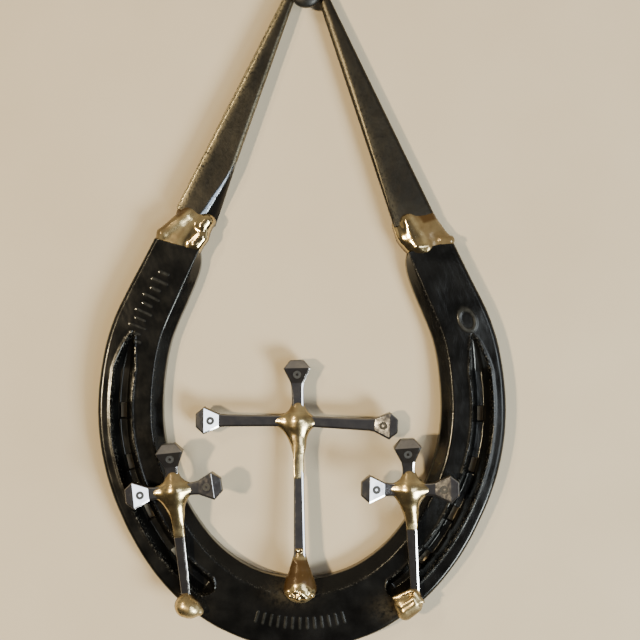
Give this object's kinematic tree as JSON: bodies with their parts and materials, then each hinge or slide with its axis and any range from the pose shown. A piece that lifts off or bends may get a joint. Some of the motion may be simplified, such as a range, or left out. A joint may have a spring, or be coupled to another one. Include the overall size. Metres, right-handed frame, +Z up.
{
  "type": "horseshoe wall hanging",
  "caption": "Wall-hung farrier's ornament: black fullered keg horseshoe, heels up on tapered steel arms, with brazed crosses of horseshoe nails, swinging on one screw.",
  "frame": {"origin": "axis of the hanging screw, where it enters the wall plane", "axes": "+Z up, +X to the right as the ornament is looked at, +Y into the wall along the screw"},
  "size_m": [0.1238, 0.0426, 0.2138],
  "materials": {
    "shoe_paint": "semi-gloss black paint over forged steel",
    "arm_steel": "dark bronze-brown forge scale, bare along the edges",
    "nail_steel": "bright drawn steel, lightly oiled",
    "braze_brass": "as-flowed braze, glossy",
    "screw_black": "black phosphate"
  },
  "bodies": {
    "wall_screw": {"hanging_screw": "screw_black"},
    "ornament": {"horseshoe": "shoe_paint", "left_arm": "arm_steel", "right_arm": "arm_steel", "left_heel_braze": "braze_brass", "right_heel_braze": "braze_brass", "apex_braze": "braze_brass", "centre_cross_top_nail": "nail_steel", "centre_cross_left_nail": "nail_steel", "centre_cross_right_nail": "nail_steel", "centre_cross_foot_nail": "nail_steel", "centre_cross_hub_braze": "braze_brass", "centre_cross_foot_braze": "braze_brass", "left_cross_upright_nail": "nail_steel", "left_cross_left_nail": "nail_steel", "left_cross_right_nail": "nail_steel", "left_cross_hub_braze": "braze_brass", "left_cross_foot_braze": "braze_brass", "right_cross_upright_nail": "nail_steel", "right_cross_left_nail": "nail_steel", "right_cross_right_nail": "nail_steel", "right_cross_hub_braze": "braze_brass", "right_cross_foot_braze": "braze_brass"}
  },
  "joints": [
    {"name": "swing", "type": "hinge", "parent": "wall_screw", "child": "ornament", "pos_m": [0, 0, 0], "axis": [0, 1, 0], "range_deg": [-20, 20]}
  ]
}
